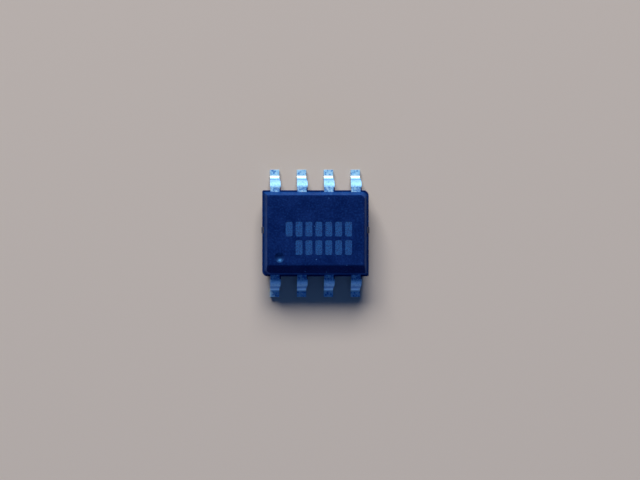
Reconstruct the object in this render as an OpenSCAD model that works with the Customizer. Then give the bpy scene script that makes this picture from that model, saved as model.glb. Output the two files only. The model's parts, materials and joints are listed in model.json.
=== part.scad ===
// Switching regulator in an eight-lead small-outline plastic package with gull-wing leads.
// Millimetres. +X runs along the body, +Y across it towards leads 5 to 8, +Z up from the board.
// The origin is under the middle of the body, on the plane that the eight feet stand on.
// Leads 1 to 4 run from left to right along the near side, leads 5 to 8 from right to left along the far side.

/* [Body] */
// From the middle of an outer lead to the end of the body, at the parting line of the upper half
end_margin = 0.525; // [0.4:0.005:0.7]
// Width of the upper half of the body at the parting line
body_width = 3.9; // [3.6:0.02:4.4]
// Height of the moulding above the parting line
upper_height = 0.7; // [0.6:0.02:0.9]
// Height of the moulding below the parting line
lower_height = 0.8; // [0.7:0.02:0.9]
// Gap between the underside of the body and the board
standoff = 0.15; // [0.1:0.01:0.25]
// How far the lower half stands out beyond the upper half, all round
parting_ledge = 0.08; // [0.02:0.01:0.15]
// Lean of the moulded walls from upright
draft_angle = 12; // [5:1:15]
// Height of the 45 degree flat along the top edge over leads 1 to 4
edge_chamfer = 0.36; // [0.2:0.01:0.5]
// Cut across the corners beside leads 1 and 5, along each side
wide_corner_cut = 0.2; // [0.1:0.01:0.3]
// Cut across the corners beside leads 4 and 8, along each side
narrow_corner_cut = 0.06; // [0.02:0.01:0.2]

/* [Lead 1 mark] */
// Diameter of the bowl that marks lead 1
mark_diameter = 0.48; // [0.3:0.02:0.7]
// Depth of the bowl
mark_depth = 0.11; // [0.05:0.01:0.15]
// From the left edge of the top face to the middle of the bowl
mark_from_end = 0.57; // [0.4:0.01:0.9]
// From the chamfer's upper edge to the middle of the bowl
mark_from_chamfer = 0.39; // [0.36:0.01:0.8]

/* [Leads] */
// Spacing of neighbouring leads
lead_pitch = 1.27; // [1.1:0.01:1.5]
// Level length of a lead between the body's ledge and its first bend
shoulder_flat = 0.12; // [0.05:0.01:0.3]
// Width of one lead
lead_width = 0.44; // [0.31:0.01:0.51]
// Thickness of the lead frame's sheet
sheet_thickness = 0.2; // [0.15:0.01:0.25]
// Inside radius of the two bends of a lead
bend_radius = 0.12; // [0.06:0.01:0.16]
// Slope of a lead between its bends, from level
slope_angle = 70; // [64:1:82]
// Flat length of a foot beyond its bend
foot_flat = 0.27; // [0.15:0.01:0.5]
// What the trimmed dam bar leaves on the right of a lead
trim_stub_right = 0.05; // [0.02:0.01:0.12]
// What the trimmed dam bar leaves on the left of a lead
trim_stub_left = 0.012; // [0.004:0.004:0.06]

/* [Lead frame inside the body] */
// Resin between the lead frame and the ends of the body
frame_margin = 0.28; // [0.15:0.01:0.4]
// Resin between the sides of the body and the bond posts
post_setback = 0.3; // [0.2:0.01:0.4]
// Depth of a bond post across the body
post_depth = 0.45; // [0.3:0.01:0.5]
// Gap between neighbouring pieces of the lead frame
frame_gap = 0.2; // [0.12:0.01:0.26]
// Drop of the paddles below the leads
paddle_downset = 0.2; // [0.1:0.01:0.3]
// Width of the tie bar that held a paddle while the body was moulded
tie_bar_width = 0.3; // [0.2:0.01:0.5]
// Middle of the tie bars, from the middle of the body towards leads 5 to 8
tie_bar_offset = 0.15; // [0:0.01:0.3]
// How far a cut tie bar stands out of the end of the body
tie_bar_stub = 0.03; // [0.01:0.01:0.06]

/* [Dies] */
// Thickness of the three dies
die_thickness = 0.2; // [0.1:0.01:0.3]
// Thickness of the layer that fixes a die to its paddle
attach_thickness = 0.02; // [0.01:0.005:0.05]
// How far that layer shows round a die
attach_border = 0.03; // [0.01:0.01:0.06]
// Bare paddle at the near edge and the ends of the power dies
die_setback = 0.12; // [0.08:0.01:0.2]
// Length of the low-side die along the body
low_side_length = 0.8; // [0.64:0.02:1.0]
// Bare paddle between the two power dies
die_gap = 0.26; // [0.14:0.01:0.4]
// Bare paddle beyond the far edge of the low-side die
low_side_far_margin = 0.28; // [0.1:0.01:0.6]
// Bare paddle beyond the far edge of the high-side die
high_side_far_margin = 0.78; // [0.4:0.01:1.0]
// Bare paddle at the ends of the controller die
controller_end_margin = 0.3; // [0.1:0.01:0.5]
// Bare paddle at the sides of the controller die
controller_side_margin = 0.25; // [0.1:0.01:0.4]

/* [Bond wires] */
// Diameter of a power wire
power_wire_diameter = 0.05; // [0.04:0.005:0.06]
// Diameter of a controller wire
fine_wire_diameter = 0.03; // [0.02:0.005:0.04]
// Power wires on each power die
power_wire_count = 4; // [1:1:4]
// Spacing of the power wires
power_wire_pitch = 0.14; // [0.13:0.01:0.16]
// From the near edge of a power die to its bonds
power_bond_inset = 0.3; // [0.15:0.01:0.4]
// From the edges of a die or a post to a fine bond
pad_inset = 0.1; // [0.06:0.01:0.14]
// Spacing of the controller's bonds along its left edge
pad_pitch = 0.3; // [0.2:0.01:0.36]
// Height of a wire's upright neck, from its first bond to its kink
wire_rise = 0.18; // [0.1:0.01:0.24]
// Width of a wire's flattened ends, in wire diameters
bond_spread = 1.8; // [1.4:0.1:2.2]
// Height of a wire's flattened ends, in wire diameters
bond_height = 0.6; // [0.55:0.05:0.9]

/* [Hidden] */
$fn = 48;
resin = [0.05, 0.14, 0.34];
tin = [0.66, 0.8, 0.94];
copper = [0.75, 0.45, 0.28];
silicon = [0.36, 0.38, 0.42];
die_paste = [0.7, 0.7, 0.72];
wire_gold = [0.9, 0.72, 0.3];

// Levels, up from the board
parting_z = standoff + lower_height;
sheet_z = parting_z - sheet_thickness;
paddle_top_z = parting_z - paddle_downset;
paddle_z = paddle_top_z - sheet_thickness;
die_z = paddle_top_z + attach_thickness;
die_top_z = die_z + die_thickness;

// The moulding
body_length = 3 * lead_pitch + 2 * end_margin;
ledge_half_length = body_length / 2 + parting_ledge;
ledge_half_width = body_width / 2 + parting_ledge;
upper_inset = upper_height * tan(draft_angle);
chamfer_foot_z = upper_height - edge_chamfer;
chamfer_foot_y = chamfer_foot_z * tan(draft_angle) - body_width / 2;
mark_x = upper_inset - body_length / 2 + mark_from_end;
mark_y = chamfer_foot_y + edge_chamfer + mark_from_chamfer;
cutter_length = 2 * (body_length + body_width);
mark_sphere_radius = (pow(mark_diameter / 2, 2) + pow(mark_depth, 2)) / (2 * mark_depth);

// The path of a lead, outwards from the body
double_bend = 2 * bend_radius + sheet_thickness;
slope_length = (sheet_z - double_bend * (1 - cos(slope_angle))) / sin(slope_angle);
bend_start_y = ledge_half_width + shoulder_flat;
upper_bend_z = sheet_z - bend_radius;
outer_lead_x = 1.5 * lead_pitch;
middle_lead_x = 0.5 * lead_pitch;

// The lead frame inside
frame_half_length = body_length / 2 - frame_margin;
post_outer_y = body_width / 2 - post_setback;
post_inner_y = post_outer_y - post_depth;
post_y = (post_outer_y + post_inner_y) / 2;
paddle_half_width = post_inner_y - frame_gap;
paddle_inner_x = frame_gap / 2;
outer_post_x = lead_pitch + frame_gap / 2;
middle_post_x = lead_pitch - frame_gap / 2;
outer_post_mid_x = (outer_post_x + frame_half_length) / 2;
middle_post_mid_x = (paddle_inner_x + middle_post_x) / 2;

// The dies
power_die_y = die_setback - paddle_half_width;
low_side_x = die_setback - frame_half_length;
low_side_right = low_side_x + low_side_length;
low_side_far = paddle_half_width - low_side_far_margin;
high_side_x = low_side_right + die_gap;
high_side_right = -paddle_inner_x - die_setback;
high_side_far = paddle_half_width - high_side_far_margin;
controller_x = paddle_inner_x + controller_end_margin;
controller_right = frame_half_length - controller_end_margin;
controller_far = paddle_half_width - controller_side_margin;

// The bonds
ground_wires_x = (low_side_x + min(low_side_right, -outer_post_x)) / 2;
input_wires_x = (max(high_side_x, -middle_post_x) + high_side_right) / 2;
power_bond_y = power_die_y + power_bond_inset;
edge_pad_x = controller_x + pad_inset;
far_pad_y = controller_far - pad_inset;
inner_pad_x = edge_pad_x + 2 * pad_inset;
outer_pad_x = controller_right - pad_inset;

// A level plate between two corners, from height z upwards
module plate(x0, x1, y0, y1, z, thickness) {
    translate([x0, y0, z])
        cube([x1 - x0, y1 - y0, thickness]);
}

// A bar along Y whose section, set out in X and Z, narrows upwards by the moulding's draft
module drafted_bar(half_base, height) {
    inset = height * tan(draft_angle);
    rotate([90, 0, 0])
        linear_extrude(height = cutter_length, center = true)
            polygon([[-half_base, 0], [half_base, 0],
                [half_base - inset, height], [inset - half_base, height]]);
}

// One half of the moulding, standing on its outline at the parting line
module moulded_half(half_length, half_width, height) {
    diagonal = half_length + half_width;
    intersection() {
        drafted_bar(half_length, height);
        rotate([0, 0, 90])
            drafted_bar(half_width, height);
        rotate([0, 0, 45])
            drafted_bar((diagonal - wide_corner_cut) / sqrt(2), height);
        rotate([0, 0, -45])
            drafted_bar((diagonal - narrow_corner_cut) / sqrt(2), height);
    }
}

module upper_half() {
    over = edge_chamfer;
    translate([0, 0, parting_z])
        difference() {
            moulded_half(body_length / 2, body_width / 2, upper_height);
            // The flat along the edge over leads 1 to 4
            rotate([90, 0, 90])
                linear_extrude(height = cutter_length, center = true)
                    polygon([[chamfer_foot_y - over, chamfer_foot_z - over],
                        [chamfer_foot_y + edge_chamfer + over, upper_height + over],
                        [chamfer_foot_y - over, upper_height + over]]);
            // The bowl that marks lead 1
            translate([mark_x, mark_y, upper_height + mark_sphere_radius - mark_depth])
                sphere(r = mark_sphere_radius);
        }
}

module lower_half() {
    translate([0, 0, parting_z])
        mirror([0, 0, 1])
            moulded_half(ledge_half_length, ledge_half_width, lower_height);
}

// The resin left between the body and the dam bar, on the right of one lead of the far row
module flash_tab(x) {
    right = x + lead_width / 2;
    plate(right, right + trim_stub_right, body_width / 2, bend_start_y, sheet_z, sheet_thickness);
}

// One bend of a lead about an axis along X, from angle start, with the stubs of the dam bar or without
module lead_bend(start, left, right) {
    rotate([90, 0, 90])
        rotate([0, 0, start])
            rotate_extrude(angle = slope_angle)
                translate([bend_radius, -left])
                    square([sheet_thickness, left + right]);
}

// One gull-wing lead of the far row, from the inner edge of its bond post out to its toe: each stretch is set
// out in the frame of the one before it, first about the axis of the upper bend, then about that of the lower
module far_lead(x) {
    half = lead_width / 2;
    stub_left = half + trim_stub_left;
    stub_right = half + trim_stub_right;
    translate([x, bend_start_y, upper_bend_z]) {
        plate(-half, half, post_inner_y - bend_start_y, 0, bend_radius, sheet_thickness);
        rotate([-slope_angle, 0, 0]) {
            lead_bend(90, stub_left, stub_right);
            translate([0, 0, bend_radius])
                linear_extrude(height = sheet_thickness)
                    polygon([[-stub_left, 0], [stub_right, 0], [half, slope_length], [-half, slope_length]]);
            translate([0, slope_length, double_bend]) {
                lead_bend(270, half, half);
                rotate([slope_angle, 0, 0])
                    plate(-half, half, 0, foot_flat, -bend_radius - sheet_thickness, sheet_thickness);
            }
        }
    }
}

module near_lead(x) {
    mirror([0, 1, 0])
        far_lead(x);
}

// A bond post of the far row between two places along the body
module far_post(x0, x1) {
    plate(x0, x1, post_inner_y, post_outer_y, sheet_z, sheet_thickness);
}

module near_post(x0, x1) {
    mirror([0, 1, 0])
        far_post(x0, x1);
}

// A paddle, the step up from it and its far bond post, formed from one strip between two places along the body
module far_strip(x0, x1) {
    translate([x0, 0, 0])
        rotate([90, 0, 90])
            linear_extrude(height = x1 - x0)
                polygon([[-paddle_half_width, paddle_z], [paddle_half_width, paddle_z], [post_inner_y, sheet_z],
                    [post_outer_y, sheet_z], [post_outer_y, parting_z], [post_inner_y, parting_z],
                    [paddle_half_width, paddle_top_z], [-paddle_half_width, paddle_top_z]]);
}

// The level part of the right-hand paddle, over its whole length
module controller_paddle() {
    half = paddle_half_width;
    plate(paddle_inner_x, frame_half_length, -half, half, paddle_z, sheet_thickness);
}

// The right-hand tie bar, from the inner end of its paddle out through the end of the body
module right_tie_bar() {
    step_x = body_length / 2;
    end_x = ledge_half_length + tie_bar_stub;
    translate([0, tie_bar_offset, 0])
        rotate([90, 0, 0])
            linear_extrude(height = tie_bar_width, center = true)
                polygon([[paddle_inner_x, paddle_z], [frame_half_length, paddle_z], [step_x, sheet_z],
                    [end_x, sheet_z], [end_x, parting_z], [step_x, parting_z],
                    [frame_half_length, paddle_top_z], [paddle_inner_x, paddle_top_z]]);
}

// A die between two corners
module die(x0, x1, y0, y1) {
    plate(x0, x1, y0, y1, die_z, die_thickness);
}

// The attach layer under such a die
module attach_layer(x0, x1, y0, y1) {
    b = attach_border;
    plate(x0 - b, x1 + b, y0 - b, y1 + b, paddle_top_z, attach_thickness);
}

// A straight length of wire between two points
module straight_wire(p, q, diameter) {
    run = q - p;
    translate(p)
        rotate([0, acos(run[2] / norm(run)), atan2(run[1], run[0])])
            cylinder(h = norm(run), d = diameter);
}

// A bond wire from bond p to bond q: a flattened end on each, an upright neck, a kink and a straight run down
module bond_wire(p, q, diameter) {
    end_height = bond_height * diameter;
    kink = p + [0, 0, end_height + wire_rise];
    landing = q + [0, 0, end_height];
    for (bond = [p, q])
        translate(bond)
            cylinder(h = end_height, d = bond_spread * diameter);
    straight_wire(p, kink, diameter);
    translate(kink)
        sphere(d = diameter);
    straight_wire(kink, landing, diameter);
}

// A row of power wires, side by side about x, from a power die out to a near post
module power_wires(x) {
    for (i = [0 : power_wire_count - 1]) {
        wire_x = x + (i - (power_wire_count - 1) / 2) * power_wire_pitch;
        bond_wire([wire_x, power_bond_y, die_top_z], [wire_x, -post_y, parting_z], power_wire_diameter);
    }
}

// A controller wire from a bond on the die
module fine_wire(x, y, q) {
    bond_wire([x, y, die_top_z], q, fine_wire_diameter);
}

module mould_body() {
    color(resin)
        difference() {
            union() {
                upper_half();
                lower_half();
                for (x = [-outer_lead_x, -middle_lead_x, middle_lead_x, outer_lead_x])
                    for (side = [0, 1])
                        mirror([0, side, 0])
                            flash_tab(x);
            }
            lead_1_power_ground();
            lead_2_input();
            lead_4_feedback();
            lead_5_compensation();
            lead_6_enable();
            controller_paddle_with_lead_3();
            switch_paddle_with_leads_7_8();
            low_side_die();
            high_side_die();
            controller_die();
            low_side_die_attach();
            high_side_die_attach();
            controller_die_attach();
            ground_wires();
            input_wires();
            feedback_wire();
            compensation_wire();
            enable_wire();
            controller_ground_wire();
            controller_supply_wire();
            high_side_gate_wire();
            low_side_gate_wire();
            switch_sense_wire();
        }
}

module lead_1_power_ground() {
    color(tin) {
        near_lead(-outer_lead_x);
        near_post(-frame_half_length, -outer_post_x);
    }
}

module lead_2_input() {
    color(tin) {
        near_lead(-middle_lead_x);
        near_post(-middle_post_x, -paddle_inner_x);
    }
}

module lead_4_feedback() {
    color(tin) {
        near_lead(outer_lead_x);
        near_post(outer_post_x, frame_half_length);
    }
}

module lead_5_compensation() {
    color(tin) {
        far_lead(outer_lead_x);
        far_post(outer_post_x, frame_half_length);
    }
}

module lead_6_enable() {
    color(tin) {
        far_lead(middle_lead_x);
        far_post(paddle_inner_x, middle_post_x);
    }
}

module controller_paddle_with_lead_3() {
    color(tin) {
        near_lead(middle_lead_x);
        mirror([0, 1, 0])
            far_strip(paddle_inner_x, middle_post_x);
        controller_paddle();
        right_tie_bar();
    }
}

module switch_paddle_with_leads_7_8() {
    color(tin) {
        far_lead(-middle_lead_x);
        far_lead(-outer_lead_x);
        far_strip(-frame_half_length, -paddle_inner_x);
        mirror([1, 0, 0])
            right_tie_bar();
    }
}

module low_side_die() {
    color(silicon)
        die(low_side_x, low_side_right, power_die_y, low_side_far);
}

module high_side_die() {
    color(silicon)
        die(high_side_x, high_side_right, power_die_y, high_side_far);
}

module controller_die() {
    color(silicon)
        die(controller_x, controller_right, -controller_far, controller_far);
}

module low_side_die_attach() {
    color(die_paste)
        attach_layer(low_side_x, low_side_right, power_die_y, low_side_far);
}

module high_side_die_attach() {
    color(die_paste)
        attach_layer(high_side_x, high_side_right, power_die_y, high_side_far);
}

module controller_die_attach() {
    color(die_paste)
        attach_layer(controller_x, controller_right, -controller_far, controller_far);
}

module ground_wires() {
    color(copper)
        power_wires(ground_wires_x);
}

module input_wires() {
    color(copper)
        power_wires(input_wires_x);
}

module feedback_wire() {
    color(wire_gold)
        fine_wire(outer_pad_x, -far_pad_y, [outer_post_mid_x, -post_y, parting_z]);
}

module compensation_wire() {
    color(wire_gold)
        fine_wire(outer_pad_x, far_pad_y, [outer_post_mid_x, post_y, parting_z]);
}

module enable_wire() {
    color(wire_gold)
        fine_wire(inner_pad_x, far_pad_y, [middle_post_mid_x, post_y, parting_z]);
}

module controller_ground_wire() {
    color(wire_gold)
        fine_wire(inner_pad_x, -far_pad_y, [middle_post_mid_x, -post_y, parting_z]);
}

module controller_supply_wire() {
    color(wire_gold)
        fine_wire(edge_pad_x, -1.5 * pad_pitch, [-paddle_inner_x - pad_inset, -post_y, parting_z]);
}

module high_side_gate_wire() {
    color(wire_gold)
        fine_wire(edge_pad_x, -0.5 * pad_pitch,
            [high_side_right - pad_inset, high_side_far - pad_inset, die_top_z]);
}

module low_side_gate_wire() {
    color(wire_gold)
        fine_wire(edge_pad_x, 0.5 * pad_pitch,
            [low_side_right - pad_inset, low_side_far - pad_inset, die_top_z]);
}

module switch_sense_wire() {
    color(wire_gold)
        fine_wire(edge_pad_x, 1.5 * pad_pitch,
            [high_side_right, paddle_half_width - die_setback, paddle_top_z]);
}

mould_body();
lead_1_power_ground();
lead_2_input();
lead_4_feedback();
lead_5_compensation();
lead_6_enable();
controller_paddle_with_lead_3();
switch_paddle_with_leads_7_8();
low_side_die();
high_side_die();
controller_die();
low_side_die_attach();
high_side_die_attach();
controller_die_attach();
ground_wires();
input_wires();
feedback_wire();
compensation_wire();
enable_wire();
controller_ground_wire();
controller_supply_wire();
high_side_gate_wire();
low_side_gate_wire();
switch_sense_wire();
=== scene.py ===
import json
import math

import bmesh
import bpy
from bpy.props import FloatProperty, FloatVectorProperty, IntProperty, PointerProperty
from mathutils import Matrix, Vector

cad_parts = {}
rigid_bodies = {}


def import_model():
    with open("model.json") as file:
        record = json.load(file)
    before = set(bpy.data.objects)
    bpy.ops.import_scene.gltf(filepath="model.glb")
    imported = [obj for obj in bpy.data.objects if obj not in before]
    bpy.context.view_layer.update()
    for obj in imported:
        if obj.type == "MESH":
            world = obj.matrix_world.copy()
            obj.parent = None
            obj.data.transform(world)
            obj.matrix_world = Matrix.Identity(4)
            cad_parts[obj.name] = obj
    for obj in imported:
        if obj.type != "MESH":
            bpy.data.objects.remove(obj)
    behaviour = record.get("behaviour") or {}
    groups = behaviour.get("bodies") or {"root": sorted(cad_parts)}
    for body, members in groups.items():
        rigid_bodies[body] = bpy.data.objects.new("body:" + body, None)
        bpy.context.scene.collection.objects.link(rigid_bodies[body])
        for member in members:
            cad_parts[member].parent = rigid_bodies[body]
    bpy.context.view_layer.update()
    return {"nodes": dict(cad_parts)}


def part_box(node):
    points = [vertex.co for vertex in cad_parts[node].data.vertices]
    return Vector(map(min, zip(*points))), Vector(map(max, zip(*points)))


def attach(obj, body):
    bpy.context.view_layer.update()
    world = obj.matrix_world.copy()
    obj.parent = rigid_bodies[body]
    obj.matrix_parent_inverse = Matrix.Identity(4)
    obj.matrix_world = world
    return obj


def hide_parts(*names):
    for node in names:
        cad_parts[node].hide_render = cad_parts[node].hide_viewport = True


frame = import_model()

bl_info = {
    "name": "Switching regulator",
    "version": (1, 0, 0),
    "blender": (4, 5, 0),
    "location": "View3D > Sidebar > Regulator",
    "description": "Models and dresses a switching regulator in an eight-lead small-outline package",
    "category": "Object",
}

MM = 0.001

# Points closer than MERGE are one point, and HAIR is just enough to tell two places apart
MERGE = 1e-7
HAIR = 0.001 * MM

# Places that the frame gives
BODY_LOW, BODY_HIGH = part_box("mould_body")
LEAD_LOW, LEAD_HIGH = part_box("lead_5_compensation")
PADDLE_LOW, PADDLE_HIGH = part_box("controller_paddle_with_lead_3")
PARTING_Z = LEAD_HIGH.z
UNDERSIDE_Z = BODY_LOW.z
TOP_Z = BODY_HIGH.z
LEDGE_HALF_LENGTH = BODY_HIGH.x
BEND_START_Y = BODY_HIGH.y
TOE_Y = LEAD_HIGH.y
POST_INNER_Y = LEAD_LOW.y
FRAME_HALF_LENGTH = -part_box("lead_1_power_ground")[0].x
PADDLE_HALF_WIDTH = PADDLE_HIGH.y
PADDLE_INNER_X = PADDLE_LOW.x
TIE_BAR_END_X = PADDLE_HIGH.x
PADDLE_TOP_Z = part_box("controller_die_attach")[0].z
OUTER_POST_X = LEAD_LOW.x
MIDDLE_POST_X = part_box("lead_6_enable")[1].x

# Places of the leads of one row along the body, in pitches
LEAD_PLACES = (-1.5, -0.5, 0.5, 1.5)

# Leads that stand alone: the node, its place in pitches, its row (1 is far, -1 near) and the ends of its post
SINGLE_LEADS = {
    "lead_1": ("lead_1_power_ground", -1.5, -1, (-FRAME_HALF_LENGTH, -OUTER_POST_X)),
    "lead_2": ("lead_2_input", -0.5, -1, (-MIDDLE_POST_X, -PADDLE_INNER_X)),
    "lead_4": ("lead_4_feedback", 1.5, -1, (OUTER_POST_X, FRAME_HALF_LENGTH)),
    "lead_5": ("lead_5_compensation", 1.5, 1, (OUTER_POST_X, FRAME_HALF_LENGTH)),
    "lead_6": ("lead_6_enable", 0.5, 1, (PADDLE_INNER_X, MIDDLE_POST_X)),
}
DIES = ("low_side_die", "high_side_die", "controller_die")
ATTACH_LAYERS = tuple(name + "_attach" for name in DIES)
POWER_WIRES = ("ground_wires", "input_wires")
FINE_WIRES = ("feedback_wire", "compensation_wire", "enable_wire", "controller_ground_wire",
              "controller_supply_wire", "high_side_gate_wire", "low_side_gate_wire", "switch_sense_wire")

# Etched rows: how many fields, the middle of the first along the body, and the middle of the row across it
ETCHED_ROWS = ((7, -1.26 * MM, 0.2 * MM), (6, -0.795 * MM, -0.665 * MM))

# Where the look of a lead changes, in millimetres out from the middle of the body
BEND = BEND_START_Y / MM
# The painted shade at the root fades out over this span
ROOT_SHADE_FADES = (BEND, BEND + 0.05)
SHOULDER_FADES = (BEND, BEND + 0.09)
# The painted dark line where the slope turns into the heel
SHADE_LINE_RISES, SHADE_LINE_FADES = (BEND + 0.33, BEND + 0.38), (BEND + 0.4, BEND + 0.44)
# The painted highlight along the heel
HEEL_RISES, HEEL_FADES = (BEND + 0.43, BEND + 0.47), (BEND + 0.57, BEND + 0.61)
FOOT_RISES = (BEND + 0.52, BEND + 0.55)


def length(name, description, default):
    """A size in metres that a user may change."""
    return FloatProperty(name=name, description=description, default=default, unit="LENGTH",
                         precision=6, min=0.0)


def colour(name, description, default):
    """A colour that a user may change."""
    return FloatVectorProperty(name=name, description=description, default=default, subtype="COLOR",
                               size=3, min=0.0, max=1.0)


class BodySettings(bpy.types.PropertyGroup):
    """Sizes of the moulded body."""

    ledge: length("Ledge", "How far the lower half stands out beyond the upper half", 0.08 * MM)
    body_width: length("Width", "Width of the upper half at the parting line", 3.9 * MM)
    draft: FloatProperty(name="Draft", description="Lean of the moulded walls from upright",
                         default=math.radians(12), subtype="ANGLE")
    chamfer: length("Chamfer", "Height of the flat along the edge over leads 1 to 4", 0.36 * MM)
    wide_corner: length("Wide corners", "Reach of the round corners beside leads 1 and 5", 0.24 * MM)
    narrow_corner: length("Narrow corners", "Reach of the corners beside leads 4 and 8", 0.07 * MM)
    edge_softness: length("Edge softness", "Width of the rounding along the moulded edges", 0.022 * MM)
    top_softness: length("Top softness", "Width of the rounding round the top face", 0.05 * MM)
    mark_diameter: length("Mark diameter", "Diameter of the bowl that marks lead 1", 0.48 * MM)
    mark_depth: length("Mark depth", "Depth of that bowl", 0.11 * MM)
    mark_rim: length("Mark rim", "Radius of the rounding round that bowl", 0.035 * MM)
    mark_from_end: length("Mark from end", "From the top face's left edge to the bowl's middle", 0.57 * MM)
    mark_from_chamfer: length("Mark from chamfer", "From the chamfer's upper edge to the bowl's middle",
                              0.39 * MM)
    etch_depth: length("Etch depth", "Depth of the etched fields in the top face", 0.008 * MM)
    etch_height: length("Etch height", "Length of one etched field, across the body", 0.7 * MM)
    etch_width: length("Etch width", "Width of one etched field, along the body", 0.32 * MM)
    etch_corner: length("Etch corner", "Reach of the round corners of an etched field", 0.08 * MM)
    etch_pitch: length("Etch pitch", "Spacing of the etched fields in a row", 0.465 * MM)


class LeadSettings(bpy.types.PropertyGroup):
    """Sizes of the leads and the lead frame."""

    pitch: length("Pitch", "Spacing of neighbouring leads", 1.27 * MM)
    width: length("Width", "Width of one lead", 0.44 * MM)
    sheet: length("Sheet", "Thickness of the lead frame's sheet", 0.2 * MM)
    bend_radius: length("Bend radius", "Inside radius of the two bends", 0.12 * MM)
    slope: FloatProperty(name="Slope", description="Slope of a lead between its bends, from level",
                         default=math.radians(70), subtype="ANGLE")
    stub_right: length("Right stub", "What the trimmed dam bar leaves on the right of a lead", 0.05 * MM)
    stub_left: length("Left stub", "What the trimmed dam bar leaves on the left of a lead", 0.012 * MM)
    post_depth: length("Post depth", "Depth of a bond post across the body", 0.45 * MM)
    tie_bar_width: length("Tie bar width", "Width of the tie bar at the end of a paddle", 0.3 * MM)
    tie_bar_offset: length("Tie bar offset", "Middle of the tie bars, towards leads 5 to 8", 0.15 * MM)
    edge_rounding: length("Edge rounding", "Width of the rounding that stamping leaves", 0.014 * MM)
    bend_steps: IntProperty(name="Bend steps", description="Steps round one bend", default=12, min=3)


class FinishSettings(bpy.types.PropertyGroup):
    """Colours of the finishes."""

    resin: colour("Resin", "Moulded epoxy", (0.0052, 0.0215, 0.119))
    resin_dark: colour("Resin, dark", "Darker patches of the epoxy", (0.0027, 0.0131, 0.0865))
    # The walls' epoxy is lighter than the top's: painted light that the steep walls catch. Its long streaks
    # stand for scuffing from the mould
    painted_lit_wall: colour("Walls", "Epoxy of the walls, scuffed where it left the mould", (0.0085, 0.056, 0.235))
    painted_lit_wall_dark: colour("Walls, dark", "Darker patches of the walls", (0.0056, 0.04, 0.185))
    fleck: colour("Fleck", "Filler grains in the epoxy", (0.012, 0.055, 0.22))
    etched: colour("Etched resin", "Floor of the etched fields", (0.012, 0.1, 0.31))
    tin: colour("Tin", "Tin plating of the leads", (0.34, 0.69, 0.98))
    # Dull tin: real dull grains and dirt, and also the painted shade at the roots and the painted dark line
    # above each heel
    tin_dull_and_painted_shade: colour("Tin, dark", "Dull grains and stains of the tin plating", (0.1, 0.28, 0.66))
    # Near-white tin for painted highlights: the bright line along each heel and the glints on the level
    # stretches
    painted_highlight_tin: colour("Tin, burnished", "Tin that the forming tool has rubbed bright", (0.74, 0.95, 1.0))
    cut_metal: colour("Cut metal", "Bare copper alloy where the leads were cut off", (0.07, 0.055, 0.055))
    silicon: colour("Silicon", "Dies", (0.11, 0.12, 0.15))
    paste: colour("Die paste", "Layer under each die", (0.45, 0.45, 0.48))
    copper: colour("Copper", "Power wires", (0.52, 0.17, 0.06))
    gold: colour("Gold", "Fine wires", (0.78, 0.48, 0.08))


class StageSettings(bpy.types.PropertyGroup):
    """Floor, light and camera."""

    floor_colour: colour("Floor", "Pale floor", (0.62, 0.54, 0.47))
    key_power: FloatProperty(name="Key light", description="Power of the soft light beyond leads 5 to 8",
                             default=5.1, unit="POWER")
    fill_power: FloatProperty(name="Fill light", description="Power of the faint light before leads 1 to 4",
                              default=0.54, unit="POWER")
    ambient: colour("Ambient", "Faint light from all round", (0.014, 0.034, 0.09))
    lamp_distance: length("Lamp distance", "From a lamp to the part", 600 * MM)
    camera_distance: length("Camera distance", "From the camera to the parting line", 200 * MM)
    camera_lean: FloatProperty(name="Camera lean", description="Lean of the view towards lead 1's end",
                               default=math.radians(1.8), subtype="ANGLE")
    pixels_per_mm: FloatProperty(name="Pixels per millimetre",
                                 description="Scale of the picture at the parting line", default=21.26)


# Selecting and shaping


def begin(name):
    """Name the object that was just added, put its place into its mesh and open it for editing."""
    piece = bpy.context.object
    piece.name = name
    bpy.ops.object.transform_apply(location=True, rotation=True, scale=True)
    bpy.ops.object.mode_set(mode="EDIT")
    bpy.ops.mesh.select_all(action="SELECT")
    return piece


def end():
    """Close the mesh: merge doubles, turn the faces outwards and go back to object mode."""
    bpy.ops.mesh.select_mode(type="VERT")
    bpy.ops.mesh.select_all(action="SELECT")
    bpy.ops.mesh.remove_doubles(threshold=MERGE)
    bpy.ops.mesh.normals_make_consistent(inside=False)
    bpy.ops.object.mode_set(mode="OBJECT")


def activate(piece):
    """Make a piece the active one and the only selected one."""
    bpy.ops.object.select_all(action="DESELECT")
    piece.select_set(True)
    bpy.context.view_layer.objects.active = piece


def reopen(piece):
    """Make a piece the only selected one and open it for editing, with everything on it selected."""
    activate(piece)
    bpy.ops.object.mode_set(mode="EDIT")
    bpy.ops.mesh.select_all(action="SELECT")


def choose(kind, test):
    """Select only the vertices, edges or faces of the open mesh that pass a test."""
    bpy.ops.mesh.select_mode(type=kind)
    bpy.ops.mesh.select_all(action="DESELECT")
    mesh = bmesh.from_edit_mesh(bpy.context.object.data)
    mesh.normal_update()
    items = {"VERT": mesh.verts, "EDGE": mesh.edges, "FACE": mesh.faces}[kind]
    chosen = [item for item in items if test(item)]
    if not chosen:
        raise RuntimeError(f"{bpy.context.object.name} has no {kind.lower()} at the place looked for")
    for item in chosen:
        item.select_set(True)
    mesh.select_flush_mode()
    bmesh.update_edit_mesh(bpy.context.object.data)


def middle(item):
    """The middle of an edge or face."""
    if isinstance(item, bmesh.types.BMEdge):
        return (item.verts[0].co + item.verts[1].co) / 2
    return item.calc_center_median()


def near(a, b, tolerance=2 * HAIR):
    """Whether two places along an axis are the same."""
    return abs(a - b) < tolerance


def extrude(x=0.0, y=0.0, z=0.0):
    """Extrude what is selected by a step."""
    bpy.ops.mesh.extrude_region_move(TRANSFORM_OT_translate={"value": (x, y, z)})


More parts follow.
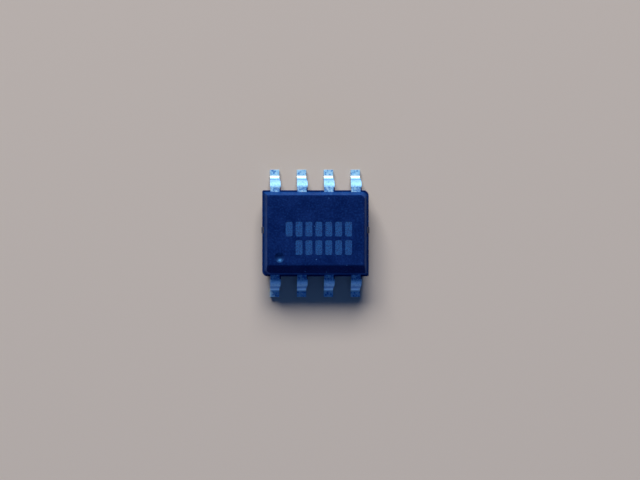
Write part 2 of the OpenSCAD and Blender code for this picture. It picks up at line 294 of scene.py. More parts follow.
def move(x=0.0, y=0.0, z=0.0):
    """Move what is selected."""
    bpy.ops.transform.translate(value=(x, y, z))


def stretch(x=1.0, y=1.0, z=1.0, about=(0.0, 0.0, 0.0)):
    """Scale what is selected about a point."""
    bpy.ops.transform.resize(value=(x, y, z), center_override=about)


def cut(point, normal, clear=False):
    """Cut the whole open mesh along a plane, and clear what lies beyond it if asked."""
    bpy.ops.mesh.select_all(action="SELECT")
    bpy.ops.mesh.bisect(plane_co=point, plane_no=normal, use_fill=clear, clear_outer=clear, threshold=MERGE)


def round_edges(width, segments, low, high, sharp=math.radians(25)):
    """Round the outward sharp edges of the open mesh whose middles lie between two levels."""
    choose("EDGE", lambda e: e.is_manifold and e.is_convex and e.calc_face_angle() > sharp
           and low < middle(e).z < high)
    bpy.ops.mesh.bevel(offset=width, segments=segments, affect="EDGES", clamp_overlap=False)


def add_block(name, low, high):
    """A block between two corners, open for editing."""
    low, high = Vector(low), Vector(high)
    centre, size = (low + high) / 2, high - low
    bpy.ops.object.select_all(action="DESELECT")
    bpy.ops.mesh.primitive_cube_add(size=MM, location=centre)
    piece = begin(name)
    stretch(*(size / MM), about=centre)
    return piece


def add_outline(name, half_length, half_width, z, corners, steps):
    """A level sheet with rounded corners, open for editing. Corners go by the signs of their place."""
    bpy.ops.object.select_all(action="DESELECT")
    bpy.ops.mesh.primitive_plane_add(size=MM, location=(0, 0, z))
    piece = begin(name)
    stretch(2 * half_length / MM, 2 * half_width / MM, 1.0, about=(0, 0, z))
    for (side_x, side_y), reach in corners.items():
        choose("VERT", lambda v: near(v.co.x, side_x * half_length) and near(v.co.y, side_y * half_width))
        bpy.ops.mesh.bevel(offset=reach, offset_type="ABSOLUTE", affect="VERTICES", segments=steps,
                           profile=0.5, clamp_overlap=False)
    return piece


def copy_of(piece, name):
    """A copy of a piece with its own mesh."""
    double = piece.copy()
    double.data = piece.data.copy()
    double.name = name
    double.hide_render = False
    double.hide_viewport = False
    double.parent = None
    bpy.context.scene.collection.objects.link(double)
    return double


def join(base, *others):
    """Join pieces into the first and leave it open for editing."""
    activate(base)
    for other in others:
        other.select_set(True)
    bpy.ops.object.join()
    bpy.ops.object.mode_set(mode="EDIT")


def remove(*pieces):
    """Remove helper pieces from the scene."""
    for piece in pieces:
        bpy.data.objects.remove(piece)


def apply_modifier(piece, kind, **values):
    """Add a modifier with the given values and apply it."""
    activate(piece)
    modifier = piece.modifiers.new(kind.title(), kind)
    for key, value in values.items():
        setattr(modifier, key, value)
    bpy.ops.object.modifier_apply(modifier=modifier.name)


def merge_into(body, tool, operation):
    """Add a helper piece to the body, or take it away, and remove the helper."""
    apply_modifier(body, "BOOLEAN", object=tool, operation=operation, solver="EXACT")
    remove(tool)


def rescale(piece, factor):
    """Enlarge or shrink a piece about the origin, in its mesh."""
    activate(piece)
    piece.scale = (factor, factor, factor)
    bpy.ops.object.transform_apply(location=False, rotation=False, scale=True)


def smooth(piece, angle=math.radians(32)):
    """Shade a piece smooth between its sharp edges, with flat faces kept flat."""
    activate(piece)
    bpy.ops.mesh.customdata_custom_splitnormals_clear()
    bpy.ops.object.shade_smooth_by_angle(angle=angle)
    # Areas as small as these are lost when normals are weighted, so the piece is enlarged for that step
    enlarged = 1024
    rescale(piece, enlarged)
    apply_modifier(piece, "WEIGHTED_NORMAL", mode="FACE_AREA", weight=100, thresh=0.01, keep_sharp=True)
    rescale(piece, 1 / enlarged)


def check_place(piece, node, tolerance=0.03 * MM):
    """Stop if a piece departs from the box of the node that it stands for."""
    bpy.context.view_layer.update()
    low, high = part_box(node)
    for axis in range(3):
        places = [corner[axis] for corner in piece.bound_box]
        if not (near(min(places), low[axis], tolerance) and near(max(places), high[axis], tolerance)):
            raise RuntimeError(f"{piece.name} doesn't fill the place of {node} along axis {axis}")


# Materials

# Spans of values: all that a pattern can have, the same falling, and those that most of a noise has
WHOLE, FALLING, MOST = (0.0, 1.0), (1.0, 0.0), (0.3, 0.7)


class Surface:
    """A material in the making: its nodes and shader, on coordinates that count in millimetres."""

    def __init__(self, name):
        self.material = bpy.data.materials.new(name)
        self.material.use_nodes = True
        self.nodes = self.material.node_tree.nodes
        self.links = self.material.node_tree.links
        self.shader = self.nodes["Principled BSDF"]
        self.raised = None
        self.place = self.scaled(self.nodes.new("ShaderNodeTexCoord").outputs["Object"], (1 / MM,) * 3)

    def set(self, name, value):
        """Put a pattern, or a value that is the same all over, on one of the shader's sockets."""
        socket = self.shader.inputs[name]
        if isinstance(value, bpy.types.NodeSocket):
            self.links.new(value, socket)
        else:
            socket.default_value = value

    def scaled(self, place, factors):
        """Coordinates times a factor along each axis."""
        mapping = self.nodes.new("ShaderNodeMapping")
        mapping.inputs["Scale"].default_value = factors
        self.links.new(place, mapping.inputs["Vector"])
        return mapping.outputs["Vector"]

    def part(self, axis):
        """One of the coordinates."""
        parts = self.nodes.new("ShaderNodeSeparateXYZ")
        self.links.new(self.place, parts.inputs["Vector"])
        return parts.outputs[axis]

    def noise(self, per_mm, detail=2.0, roughness=0.5, squeezed=None):
        """Noise with a number of waves to the millimetre, squeezed along the axes if asked."""
        noise = self.nodes.new("ShaderNodeTexNoise")
        noise.inputs["Scale"].default_value = per_mm
        noise.inputs["Detail"].default_value = detail
        noise.inputs["Roughness"].default_value = roughness
        place = self.scaled(self.place, squeezed) if squeezed else self.place
        self.links.new(place, noise.inputs["Vector"])
        return noise.outputs["Fac"]

    def lines(self, scale, distortion, detail_scale):
        """Wavy lines that run along the body."""
        wave = self.nodes.new("ShaderNodeTexWave")
        wave.bands_direction = "Y"
        wave.inputs["Scale"].default_value = scale
        wave.inputs["Distortion"].default_value = distortion
        wave.inputs["Detail Scale"].default_value = detail_scale
        self.links.new(self.place, wave.inputs["Vector"])
        return wave.outputs["Fac"]

    def span(self, value, source, target=WHOLE):
        """Map one span of values onto another, and keep to it."""
        mapped = self.nodes.new("ShaderNodeMapRange")
        mapped.inputs["From Min"].default_value, mapped.inputs["From Max"].default_value = source
        mapped.inputs["To Min"].default_value, mapped.inputs["To Max"].default_value = target
        self.links.new(value, mapped.inputs["Value"])
        return mapped.outputs["Result"]

    def combine(self, operation, *values):
        """One step of arithmetic on one or two values."""
        step = self.nodes.new("ShaderNodeMath")
        step.operation = operation
        for value, socket in zip(values, step.inputs):
            self.links.new(value, socket)
        return step.outputs["Value"]

    def band(self, value, rises, fades, share=1.0):
        """A share that rises over one span of values and fades over another."""
        risen = self.span(value, rises, (0.0, share))
        return self.combine("MULTIPLY", risen, self.span(value, fades, FALLING))

    def blend(self, share, first, second):
        """Blend two colours, each a plain colour or a pattern."""
        mix = self.nodes.new("ShaderNodeMix")
        mix.data_type = "RGBA"
        self.links.new(share, mix.inputs["Factor"])
        colour_sockets = [socket for socket in mix.inputs if socket.type == "RGBA"]
        for socket, value in zip(colour_sockets, (first, second)):
            if isinstance(value, bpy.types.NodeSocket):
                self.links.new(value, socket)
            else:
                socket.default_value = (*value, 1.0)
        return next(socket for socket in mix.outputs if socket.type == "RGBA")

    def raise_by(self, height, depth, strength):
        """Raise the surface by a pattern of a given depth, on top of the last one if there is one."""
        bump = self.nodes.new("ShaderNodeBump")
        bump.inputs["Strength"].default_value = strength
        bump.inputs["Distance"].default_value = depth
        self.links.new(height, bump.inputs["Height"])
        if self.raised:
            self.links.new(self.raised, bump.inputs["Normal"])
        self.raised = bump.outputs["Normal"]
        self.links.new(self.raised, self.shader.inputs["Normal"])


def shade(tint, share):
    """A darker tone of a colour."""
    return tuple(share * part for part in tint)


def resin_material(finish, name, light, dark, shine=0.02, texture_depth=0.006 * MM, squeezed=None):
    """Dark moulded epoxy: patches, filler grains, pores, a few pale specks and a spark-eroded texture."""
    surface = Surface(name)
    patches = surface.span(surface.noise(per_mm=1.3, detail=3.0, squeezed=squeezed), (0.35, 0.65))
    base = surface.blend(patches, dark, light)
    grains = surface.noise(per_mm=11.0, detail=3.0, roughness=0.7)
    base = surface.blend(surface.span(grains, (0.5, 0.72), (0.0, 0.5)), base, finish.fleck)
    pores = surface.span(grains, (0.3, 0.48), (0.5, 0.0))
    base = surface.blend(pores, base, shade(finish.resin_dark, 0.5))
    specks = surface.span(surface.noise(per_mm=7.0, detail=0.0), (0.855, 0.88), (0.0, 0.6))
    surface.set("Base Color", surface.blend(specks, base, finish.tin_dull_and_painted_shade))
    dull = surface.noise(per_mm=5.0, detail=3.0)
    surface.set("Roughness", surface.span(dull, MOST, (0.38, 0.48)))
    surface.set("Specular IOR Level", shine)
    surface.set("Specular Tint", (0.12, 0.5, 1.0, 1.0))
    texture = surface.noise(per_mm=24.0, detail=3.0, roughness=0.6)
    surface.raise_by(texture, depth=texture_depth, strength=0.5)
    return surface.material


def etched_material(finish):
    """Resin that a laser has roughened and bleached, in fine lines."""
    surface = Surface("etched_resin")
    stipple = surface.noise(per_mm=20.0)
    base = surface.blend(surface.span(stipple, (0.36, 0.58)), finish.resin, finish.etched)
    lines = surface.lines(scale=3.2, distortion=1.2, detail_scale=4.0)
    base = surface.blend(surface.span(lines, WHOLE, (0.0, 0.45)), base, finish.fleck)
    surface.set("Base Color", base)
    surface.set("Roughness", surface.span(stipple, MOST, (0.7, 0.9)))
    surface.set("Specular IOR Level", 0.2)
    surface.raise_by(stipple, depth=0.006 * MM, strength=0.6)
    return surface.material


def tin_material(finish):
    """Matte tin plating: dirt and painted glints where a lead is level, painted shade at the root, a painted
    dark line where the slope meets the heel and a painted highlight along the heel.
    """
    surface = Surface("matte_tin")
    grains = surface.noise(per_mm=9.0, detail=4.0, roughness=0.65)
    base = surface.blend(surface.span(grains, (0.3, 0.5), (0.4, 1.0)), finish.tin_dull_and_painted_shade, finish.tin)
    pits = surface.noise(per_mm=8.5, detail=3.0, roughness=0.6)
    out = surface.combine("ABSOLUTE", surface.part("Y"))
    level = surface.combine("MAXIMUM", surface.span(out, SHOULDER_FADES, (1.0, 0.25)),
                            surface.span(out, FOOT_RISES, (0.25, 1.0)))
    dirt = surface.combine("MULTIPLY", surface.span(pits, (0.55, 0.6)), level)
    base = surface.blend(dirt, base, finish.tin_dull_and_painted_shade)
    # Pale specks where the lead is level: painted glints in the near-white highlight tin
    painted_glints = surface.combine("MULTIPLY", surface.span(pits, (0.37, 0.47), (0.45, 0.0)), level)
    base = surface.blend(painted_glints, base, finish.painted_highlight_tin)
    # Mottled darker tin where the lead leaves the body: painted shade from the body over the root
    mottle = surface.span(grains, (0.45, 0.53), (0.9, 0.0))
    painted_root_shade = surface.combine("MULTIPLY", mottle, surface.span(out, ROOT_SHADE_FADES, FALLING))
    base = surface.blend(painted_root_shade, base, finish.tin_dull_and_painted_shade)
    # A darker line where the slope turns into the heel: painted shade
    base = surface.blend(surface.band(out, SHADE_LINE_RISES, SHADE_LINE_FADES, share=0.7), base, finish.tin_dull_and_painted_shade)
    # A lighter band along the heel is a painted highlight; the tin there is also more metallic and smoother
    heel = surface.band(out, HEEL_RISES, HEEL_FADES)
    surface.set("Base Color", surface.blend(heel, base, finish.painted_highlight_tin))
    surface.set("Metallic", surface.span(heel, WHOLE, (0.2, 0.45)))
    dull = surface.span(surface.noise(per_mm=14.0, detail=3.0), MOST, (0.5, 0.64))
    polish = surface.span(heel, WHOLE, (0.0, 0.15))
    surface.set("Roughness", surface.combine("SUBTRACT", dull, polish))
    surface.set("Specular IOR Level", 0.3)
    surface.set("Specular Tint", (0.5, 0.8, 1.0, 1.0))
    drawn = surface.noise(per_mm=6.0, squeezed=(6.0, 0.6, 0.6))
    surface.raise_by(drawn, depth=0.003 * MM, strength=0.3)
    fine = surface.noise(per_mm=30.0, detail=3.0, roughness=0.6)
    surface.raise_by(fine, depth=0.004 * MM, strength=0.4)
    return surface.material


def cut_metal_material(finish):
    """Bare copper alloy, sheared: a smear of tin in streaks across the sheet."""
    surface = Surface("cut_lead_metal")
    streaks = surface.noise(per_mm=8.0, detail=3.0, roughness=0.6, squeezed=(4.0, 1.0, 0.5))
    smear = surface.span(streaks, (0.4, 0.7), (0.0, 0.25))
    surface.set("Base Color", surface.blend(smear, finish.cut_metal, finish.tin_dull_and_painted_shade))
    surface.set("Metallic", 0.4)
    surface.set("Roughness", surface.span(streaks, MOST, (0.35, 0.6)))
    surface.raise_by(streaks, depth=0.006 * MM, strength=0.4)
    return surface.material


def silicon_material(finish):
    """Polished silicon with faint saw marks."""
    surface = Surface("silicon_die")
    tone = surface.noise(per_mm=3.0, detail=3.0)
    surface.set("Base Color", surface.blend(tone, shade(finish.silicon, 0.7), finish.silicon))
    surface.set("Metallic", 0.6)
    saw_marks = surface.noise(per_mm=20.0, detail=1.0, squeezed=(1.0, 1.0, 8.0))
    surface.set("Roughness", surface.span(saw_marks, MOST, (0.12, 0.3)))
    surface.raise_by(saw_marks, depth=0.001 * MM, strength=0.3)
    return surface.material


def paste_material(finish):
    """Silver-filled die paste, grainy and dull."""
    surface = Surface("silver_paste")
    grains = surface.noise(per_mm=40.0)
    surface.set("Base Color", surface.blend(grains, shade(finish.paste, 0.5), finish.paste))
    surface.set("Metallic", 0.7)
    surface.set("Roughness", surface.span(grains, MOST, (0.45, 0.7)))
    surface.raise_by(grains, depth=0.003 * MM, strength=0.5)
    return surface.material


def wire_material(name, tint, roughness):
    """Drawn bonding wire with faint tarnish, over a span of roughness."""
    surface = Surface(name)
    tarnish = surface.noise(per_mm=12.0, detail=3.0)
    surface.set("Base Color", surface.blend(tarnish, shade(tint, 0.75), tint))
    surface.set("Metallic", 1.0)
    surface.set("Roughness", surface.span(tarnish, MOST, roughness))
    surface.raise_by(tarnish, depth=0.0005 * MM, strength=0.3)
    return surface.material


def floor_material(tint):
    """Plain pale floor with a barely uneven tone."""
    surface = Surface("pale_floor")
    tone = surface.noise(per_mm=0.02)
    surface.set("Base Color", surface.blend(tone, shade(tint, 0.97), tint))
    surface.set("Roughness", 0.9)
    surface.set("Specular IOR Level", 0.1)
    return surface.material


def shared(name, make, finish):
    """A material that several pieces share, made the first time that it is asked for."""
    return bpy.data.materials.get(name) or make(finish)


def dress(piece, *materials):
    """Give a piece these materials, in order."""
    piece.data.materials.clear()
    for material in materials:
        piece.data.materials.append(material)


def paint(piece, index, test):
    """Give one of its materials to the faces of a piece that pass a test."""
    for face in piece.data.polygons:
        if test(face):
            face.material_index = index


# The lead frame


def model_wing(sizes):
    """One gull-wing lead of the far row about x = 0, from its bond post to its toe, open at the post."""
    sheet, radius, slope = sizes.sheet, sizes.bend_radius, sizes.slope
    sheet_z = PARTING_Z - sheet
    post_y = POST_INNER_Y + sizes.post_depth
    start = Vector((0, post_y, PARTING_Z - sheet / 2))
    double_bend = 2 * radius + sheet
    slope_length = (sheet_z - double_bend * (1 - math.cos(slope))) / math.sin(slope)
    down = Vector((0, math.cos(slope), -math.sin(slope))) * slope_length
    upper_axis = Vector((0, BEND_START_Y, sheet_z - radius))
    lower_axis = upper_axis + down + Vector((0, math.sin(slope), math.cos(slope))) * double_bend

    bpy.ops.object.select_all(action="DESELECT")
    bpy.ops.mesh.primitive_plane_add(size=MM, location=start, rotation=(math.radians(-90), 0, 0))
    wing = begin("wing")
    stretch(sizes.width / MM, 1.0, sheet / MM, about=start)
    extrude(y=BEND_START_Y - post_y)
    bpy.ops.mesh.spin(steps=sizes.bend_steps, angle=slope, center=upper_axis, axis=(1, 0, 0))
    extrude(*down)
    bpy.ops.mesh.spin(steps=sizes.bend_steps, angle=slope, center=lower_axis, axis=(-1, 0, 0))
    extrude(y=TOE_Y - lower_axis.y)

    # What the trimmed dam bar leaves, full width round the upper bend and dying out down the slope
    slope_start = -0.9 * down.length_squared

    def in_bend(vertex):
        above_slope = (vertex.co - lower_axis).dot(down) < slope_start
        return above_slope and vertex.co.y > BEND_START_Y + HAIR

    choose("VERT", lambda v: in_bend(v) and v.co.x > 0)
    move(x=sizes.stub_right)
    choose("VERT", lambda v: in_bend(v) and v.co.x < 0)
    move(x=-sizes.stub_left)
    choose("FACE", lambda f: near(middle(f).y, post_y))
    bpy.ops.mesh.delete(type="ONLY_FACE")
    bpy.ops.object.mode_set(mode="OBJECT")
    return wing


def place_wing(wing, x, side):
    """A copy of the wing at a place along the body, turned over to the near row if side is -1."""
    lead = copy_of(wing, "wing_copy")
    lead.location.x = x
    lead.scale.y = side
    activate(lead)
    bpy.ops.object.transform_apply(location=True, rotation=True, scale=True)
    return lead


def fit_wings(base, wing, sizes, places, side):
    """Open the outer edge of a bond post at each lead's place and join a wing there. The base is open."""
    half = sizes.width / 2
    post_y = side * (POST_INNER_Y + sizes.post_depth)
    for x in places:
        for edge in (x - half, x + half):
            cut((edge, 0, 0), (1, 0, 0))
        choose("FACE", lambda f: near(middle(f).y, post_y) and near(middle(f).x, x))
        bpy.ops.mesh.delete(type="ONLY_FACE")
    bpy.ops.object.mode_set(mode="OBJECT")
    join(base, *(place_wing(wing, x, side) for x in places))
    end()


def finish_lead(piece, sizes, finish, *nodes):
    """Keep a sharp copy as its room in the body, round and dress the piece, and let it replace its nodes."""
    copy_of(piece, "room_of_" + piece.name)
    apply_modifier(piece, "BEVEL", width=sizes.edge_rounding, segments=2, limit_method="ANGLE",
                   angle_limit=math.radians(40), use_clamp_overlap=False, miter_outer="MITER_SHARP")
    smooth(piece)
    plating = shared("matte_tin", tin_material, finish)
    dress(piece, plating, shared("cut_lead_metal", cut_metal_material, finish))
    wall_x = LEDGE_HALF_LENGTH - 0.1 * MM
    paint(piece, 1, lambda f: near(abs(f.center.y), TOE_Y) or abs(f.center.x) > wall_x)
    for node in nodes:
        check_place(piece, node)
    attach(piece, "root")
    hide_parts(*nodes)


def add_paddle(name, sizes, side_x, side_y, step_end_x):
    """A paddle with its tie bar, the step up to its bond post and the post, open for editing."""
    low_z = PADDLE_TOP_Z - sizes.sheet
    rise = PARTING_Z - PADDLE_TOP_Z
    ends = sorted((side_x * PADDLE_INNER_X, side_x * FRAME_HALF_LENGTH))
    piece = add_block(name, (ends[0], -PADDLE_HALF_WIDTH, low_z), (ends[1], PADDLE_HALF_WIDTH, PADDLE_TOP_Z))
    bar_low = sizes.tie_bar_offset - sizes.tie_bar_width / 2
    bar_high = bar_low + sizes.tie_bar_width
    for y in (bar_low, bar_high):
        cut((0, y, 0), (0, 1, 0))
    choose("FACE", lambda f: near(middle(f).x, side_x * FRAME_HALF_LENGTH)
           and bar_low < middle(f).y < bar_high)
    wall_x = LEDGE_HALF_LENGTH - bpy.context.scene.regulator_body.ledge
    extrude(x=side_x * (wall_x - FRAME_HALF_LENGTH), z=rise)
    extrude(x=side_x * (TIE_BAR_END_X - wall_x))
    if step_end_x < FRAME_HALF_LENGTH:
        cut((side_x * step_end_x, 0, 0), (1, 0, 0))
    choose("FACE", lambda f: near(middle(f).y, side_y * PADDLE_HALF_WIDTH)
           and abs(f.normal.y) > 0.9 and abs(middle(f).x) < step_end_x)
    extrude(y=side_y * (POST_INNER_Y - PADDLE_HALF_WIDTH), z=rise)
    extrude(y=side_y * sizes.post_depth)
    return piece


class REGULATOR_OT_leads(bpy.types.Operator):
    """Model the five leads that stand alone, each with its bond post"""

    bl_idname = "regulator.leads"
    bl_label = "Leads"

    def execute(self, context):
        sizes, finish = context.scene.regulator_leads, context.scene.regulator_finish
        wing = model_wing(sizes)
        low_z = PARTING_Z - sizes.sheet
        for name, (node, place, side, (x0, x1)) in SINGLE_LEADS.items():
            edges = sorted((side * POST_INNER_Y, side * (POST_INNER_Y + sizes.post_depth)))
            piece = add_block(name, (x0, edges[0], low_z), (x1, edges[1], PARTING_Z))
            fit_wings(piece, wing, sizes, [place * sizes.pitch], side)
            finish_lead(piece, sizes, finish, node)
        remove(wing)
        return {"FINISHED"}


class REGULATOR_OT_paddles(bpy.types.Operator):
    """Model the two paddles with the leads that are stamped in one piece with them"""

    bl_idname = "regulator.paddles"
    bl_label = "Paddles"

    def execute(self, context):
        sizes, finish = context.scene.regulator_leads, context.scene.regulator_finish
        wing = model_wing(sizes)
        piece = add_paddle("controller_paddle", sizes, 1, -1, MIDDLE_POST_X)
        fit_wings(piece, wing, sizes, [0.5 * sizes.pitch], -1)
        finish_lead(piece, sizes, finish, "controller_paddle_with_lead_3")
        piece = add_paddle("switch_paddle", sizes, -1, 1, FRAME_HALF_LENGTH)
        fit_wings(piece, wing, sizes, [-0.5 * sizes.pitch, -1.5 * sizes.pitch], 1)
        finish_lead(piece, sizes, finish, "switch_paddle_with_leads_7_8")
        remove(wing)
        return {"FINISHED"}


# The moulded body


def model_shell(sizes):
    """The moulding: its outline at the parting line drawn up, chamfered, drawn out and down, and rounded."""
    half_length, half_width = LEDGE_HALF_LENGTH - sizes.ledge, sizes.body_width / 2
    wide, narrow = sizes.wide_corner, sizes.narrow_corner
    corners = {(-1, -1): wide, (1, 1): wide, (1, -1): narrow, (-1, 1): narrow}
    body = add_outline("moulded_body", half_length, half_width, PARTING_Z, corners, steps=6)
    upper_inset = (TOP_Z - PARTING_Z) * math.tan(sizes.draft)
    lower_inset = (PARTING_Z - UNDERSIDE_Z) * math.tan(sizes.draft)

    choose("FACE", lambda f: True)
    extrude(z=TOP_Z - PARTING_Z)
    stretch(1 - upper_inset / half_length, 1 - upper_inset / half_width)
    cut((0, chamfer_edge_y(sizes), TOP_Z), (0, -1, 1), clear=True)

    choose("FACE", lambda f: near(middle(f).z, PARTING_Z))
    extrude()
    stretch(LEDGE_HALF_LENGTH / half_length, 1 + sizes.ledge / half_width)
    extrude(z=UNDERSIDE_Z - PARTING_Z)
    stretch(1 - lower_inset / LEDGE_HALF_LENGTH, 1 - lower_inset / (half_width + sizes.ledge))
    end()

    reopen(body)
    top_edge_z = TOP_Z - 0.01 * MM
    round_edges(sizes.top_softness, segments=5, low=top_edge_z, high=2 * TOP_Z)
    round_edges(sizes.edge_softness, segments=3, low=0.0, high=top_edge_z)
    end()
    return body


def chamfer_edge_y(sizes):
    """Where the flat over leads 1 to 4 meets the top face."""
    foot_height = TOP_Z - PARTING_Z - sizes.chamfer
    return foot_height * math.tan(sizes.draft) - sizes.body_width / 2 + sizes.chamfer


def mark_place(sizes):
    """The middle of the bowl that marks lead 1."""
    top_half_length = LEDGE_HALF_LENGTH - sizes.ledge - (TOP_Z - PARTING_Z) * math.tan(sizes.draft)
    return sizes.mark_from_end - top_half_length, chamfer_edge_y(sizes) + sizes.mark_from_chamfer


def mark_rings(sizes):
    """Radius and height of the bowl's rings: a round floor that turns over into a soft rim, from below."""
    rim, depth, turn = sizes.mark_diameter / 2, sizes.mark_depth, sizes.mark_rim
    ball = (rim ** 2 + depth ** 2) / (2 * depth) - turn
    steep = math.asin(rim / (ball + turn))
    shallow = math.radians(8)
    floor_steps, rim_steps = 12, 5
    rings = []
    for step in range(1, floor_steps + 1):
        angle = steep * step / floor_steps
        rings.append((ball * math.sin(angle), ball * (1 - math.cos(angle)) - depth))
    for step in range(1, rim_steps + 1):
        angle = steep + (shallow - steep) * step / rim_steps
        rings.append((rim - turn * math.sin(angle), turn * (math.cos(angle) - 1)))
    last_radius, last_height = rings[-1]
    over = 2 * HAIR
    rings.append((last_radius + (over - last_height) / math.tan(shallow), over))
    return rings


def sink_mark(body, sizes):
    """Sink the bowl that marks lead 1 into the top face."""
    x, y = mark_place(sizes)
    (radius, height), *upper_rings = mark_rings(sizes)
    bpy.ops.object.select_all(action="DESELECT")
    bpy.ops.mesh.primitive_circle_add(vertices=64, radius=radius, fill_type="NGON",
                                      location=(x, y, TOP_Z + height))
    bowl = begin("bowl")
    for next_radius, next_height in upper_rings:
        extrude(z=next_height - height)
        stretch(next_radius / radius, next_radius / radius, about=(x, y, 0))
        radius, height = next_radius, next_height
    end()
    merge_into(body, bowl, "DIFFERENCE")


def etch_fields(body, sizes):
    """Etch two rows of plain upright fields into the top face."""
    half_height, half_width, depth = sizes.etch_height / 2, sizes.etch_width / 2, sizes.etch_depth
    for count, first_x, y in ETCHED_ROWS:
        for number in range(count):
            x = first_x + number * sizes.etch_pitch
            field = add_block("field", (x - half_width, y - half_height, TOP_Z - depth),
                              (x + half_width, y + half_height, TOP_Z + depth))
            choose("EDGE", lambda e: abs(e.verts[0].co.z - e.verts[1].co.z) > depth)
            bpy.ops.mesh.bevel(offset=sizes.etch_corner, segments=4, affect="EDGES", clamp_overlap=False)
            end()
            merge_into(body, field, "DIFFERENCE")


def add_flash(body, sizes, leads):
    """Leave a sliver of resin on the right of each lead's root, up to where the dam bar was."""
    inner_y = sizes.body_width / 2 - 0.1 * MM
    for side in (-1, 1):
        edges = sorted((side * inner_y, side * BEND_START_Y))
        for place in LEAD_PLACES:
            right = place * leads.pitch + leads.width / 2
            sliver = add_block("flash", (right, edges[0], PARTING_Z - leads.sheet),
                               (right + leads.stub_right, edges[1], PARTING_Z))
            end()
            merge_into(body, sliver, "UNION")


def hollow(body):
    """Cut out the room of all that the resin is moulded around, with no film left where parts touch."""
    for room in [piece for piece in bpy.data.objects if piece.name.startswith("room_of_")]:
        merge_into(body, room, "DIFFERENCE")
    seats = {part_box(node)[1].z for node in ATTACH_LAYERS + DIES} | {PARTING_Z, PADDLE_TOP_Z}
    down = -0.99
    for node in ATTACH_LAYERS + DIES + POWER_WIRES + FINE_WIRES:
        room = copy_of(frame["nodes"][node], "room")
        reopen(room)
        bpy.ops.mesh.remove_doubles(threshold=MERGE)
        choose("FACE", lambda f: f.normal.z < down and any(near(middle(f).z, z, 2 * MERGE) for z in seats))
        move(z=-HAIR)
        end()
        merge_into(body, room, "DIFFERENCE")


def dress_body(body, sizes, leads, finish):
    """Give the moulding its finishes: the top, the etched fields, the polished bowl and the drafted walls,
    painted lighter for the light they catch.
    """
    top = resin_material(finish, "moulded_epoxy", finish.resin, finish.resin_dark)
    bowl = resin_material(finish, "polished_epoxy", finish.resin, finish.resin_dark, shine=1.0,
                          texture_depth=0.003 * MM)
    # The walls get a lighter copy of the epoxy: painted light
    walls = resin_material(finish, "drafted_epoxy", finish.painted_lit_wall, finish.painted_lit_wall_dark, squeezed=(3.0, 3.0, 0.6))
    dress(body, top, etched_material(finish), bowl, walls)

    mark_x, mark_y = mark_place(sizes)
    deepest = 1.1 * sizes.mark_depth
    wall_x = FRAME_HALF_LENGTH + 0.02 * MM
    wall_y = POST_INNER_Y + leads.post_depth + 0.05 * MM
    # How far the faces look up: the fields and the bowl at least so far, and the walls at most
    field_up, bowl_up, wall_up = 0.9, 0.2, 0.6

    def in_field(face):
        return face.normal.z > field_up and near(face.center.z, TOP_Z - sizes.etch_depth, HAIR)

    def in_bowl(face):
        out = math.hypot(face.center.x - mark_x, face.center.y - mark_y)
        sunk = MERGE < TOP_Z - face.center.z < deepest
        return face.normal.z > bowl_up and sunk and out < sizes.mark_diameter / 2

    def on_wall(face):
        return abs(face.normal.z) < wall_up and (abs(face.center.x) > wall_x or abs(face.center.y) > wall_y)

    # The steep walls take the lighter epoxy, which is painted light
    paint(body, 3, on_wall)
    paint(body, 1, in_field)
    paint(body, 2, in_bowl)


class REGULATOR_OT_body(bpy.types.Operator):
    """Model the moulded body round the leads and what they carry"""

    bl_idname = "regulator.body"
    bl_label = "Moulded body"

    def execute(self, context):
        sizes, leads = context.scene.regulator_body, context.scene.regulator_leads
        body = model_shell(sizes)
        sink_mark(body, sizes)
        etch_fields(body, sizes)
        add_flash(body, sizes, leads)
        hollow(body)
        smooth(body)
        dress_body(body, sizes, leads, context.scene.regulator_finish)
        check_place(body, "mould_body")
        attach(body, "root")
        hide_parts("mould_body")
        return {"FINISHED"}


class REGULATOR_OT_inner_parts(bpy.types.Operator):
    """Dress the dies, their attach layers and the bond wires"""

    bl_idname = "regulator.inner_parts"
    bl_label = "Dies and wires"

    def execute(self, context):
        finish = context.scene.regulator_finish
        groups = (
            (DIES, silicon_material(finish)),
            (ATTACH_LAYERS, paste_material(finish)),
            (POWER_WIRES, wire_material("drawn_copper", finish.copper, (0.3, 0.45))),
            (FINE_WIRES, wire_material("drawn_gold", finish.gold, (0.22, 0.37))),
        )
        for nodes, material in groups:
            for node in nodes:
                dress(frame["nodes"][node], material)
        return {"FINISHED"}


# The stage


def add_lamp(name, stage, bearing, rise, width, height, power, tint):
    """A soft rectangular lamp that faces the part; bearing and rise are in degrees."""
    bearing, rise = math.radians(bearing), math.radians(rise)
    level = math.cos(rise)
    towards = Vector((math.cos(bearing) * level, math.sin(bearing) * level, math.sin(rise)))
    bpy.ops.object.light_add(type="AREA", location=towards * stage.lamp_distance)
    lamp = bpy.context.object
    lamp.name = name
    lamp.data.shape = "RECTANGLE"
    lamp.data.size, lamp.data.size_y = width, height
    lamp.data.energy = power
    lamp.data.color = tint
    lamp.rotation_euler = towards.to_track_quat("Z", "Y").to_euler()


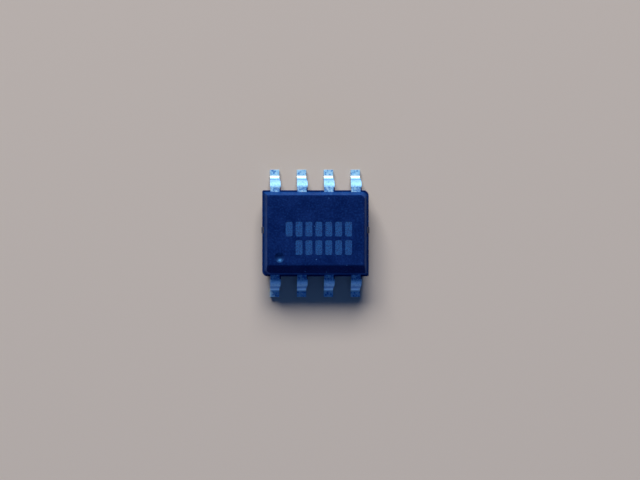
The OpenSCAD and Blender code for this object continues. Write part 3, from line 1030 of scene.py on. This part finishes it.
def add_camera(stage):
    """The camera, above the part and leaning a little. The picture is 640 pixels wide and 480 high."""
    picture_width = 640
    # How far the middle of the part lies from the middle of the picture, in pixels right and up
    part_right, part_up = -4.5, 6.7
    target = Vector((-part_right, -part_up, 0)) / stage.pixels_per_mm * MM + Vector((0, 0, PARTING_Z))
    lean = stage.camera_lean
    away = Vector((-math.sin(lean), 0, math.cos(lean)))
    bpy.ops.object.camera_add(location=target + away * stage.camera_distance)
    camera = bpy.context.object
    camera.name = "camera"
    camera.rotation_euler = (0, -lean, 0)
    camera.data.sensor_width = 36
    sensor_per_pixel = camera.data.sensor_width / picture_width
    camera.data.lens = stage.pixels_per_mm * stage.camera_distance / MM * sensor_per_pixel
    camera.data.clip_start, camera.data.clip_end = 0.01, 10
    camera.data.dof.use_dof = False
    return camera


class REGULATOR_OT_stage(bpy.types.Operator):
    """Set up the pale floor, the soft light and the camera"""

    bl_idname = "regulator.stage"
    bl_label = "Stage"

    def execute(self, context):
        stage, scene = context.scene.regulator_stage, context.scene
        floor_side = 3.0
        bpy.ops.object.select_all(action="DESELECT")
        bpy.ops.mesh.primitive_plane_add(size=floor_side, location=(0, 0, 0))
        floor = context.object
        floor.name = "floor"
        dress(floor, floor_material(stage.floor_colour))

        # Soft light beyond leads 5 to 8 and a little to the left, and a faint one before leads 1 to 4
        add_lamp("key_light", stage, bearing=98, rise=33.5, width=0.46, height=0.2,
                 power=stage.key_power, tint=(1.0, 1.0, 1.0))
        add_lamp("fill_light", stage, bearing=-90, rise=20, width=0.6, height=0.16,
                 power=stage.fill_power, tint=(0.16, 0.38, 1.0))

        world = bpy.data.worlds.new("faint_surround")
        world.use_nodes = True
        world.node_tree.nodes["Background"].inputs["Color"].default_value = (*stage.ambient, 1.0)
        scene.world = world
        scene.camera = add_camera(stage)
        scene.view_settings.view_transform = "Standard"
        return {"FINISHED"}


class REGULATOR_PT_panel(bpy.types.Panel):
    """Lists the steps that make the part, and its sizes and colours"""

    bl_label = "Switching regulator"
    bl_idname = "REGULATOR_PT_panel"
    bl_space_type = "VIEW_3D"
    bl_region_type = "UI"
    bl_category = "Regulator"

    def draw(self, context):
        for step in STEPS:
            self.layout.operator(step.bl_idname)
        for name, settings in SETTINGS.items():
            box = self.layout.box()
            for setting in settings.__annotations__:
                box.prop(getattr(context.scene, name), setting)


STEPS = (REGULATOR_OT_leads, REGULATOR_OT_paddles, REGULATOR_OT_body, REGULATOR_OT_inner_parts,
         REGULATOR_OT_stage)
SETTINGS = {
    "regulator_body": BodySettings,
    "regulator_leads": LeadSettings,
    "regulator_finish": FinishSettings,
    "regulator_stage": StageSettings,
}


def register():
    """Register the classes and hang the settings on the scene."""
    for cls in (*SETTINGS.values(), *STEPS, REGULATOR_PT_panel):
        bpy.utils.register_class(cls)
    for name, settings in SETTINGS.items():
        setattr(bpy.types.Scene, name, PointerProperty(type=settings))


def unregister():
    """Take the settings off the scene and unregister the classes."""
    for name in SETTINGS:
        delattr(bpy.types.Scene, name)
    for cls in (REGULATOR_PT_panel, *reversed(STEPS), *reversed(SETTINGS.values())):
        bpy.utils.unregister_class(cls)


def main():
    """Make the part step by step."""
    register()
    bpy.ops.regulator.leads()
    bpy.ops.regulator.paddles()
    bpy.ops.regulator.body()
    bpy.ops.regulator.inner_parts()
    bpy.ops.regulator.stage()


if __name__ == "__main__":
    main()
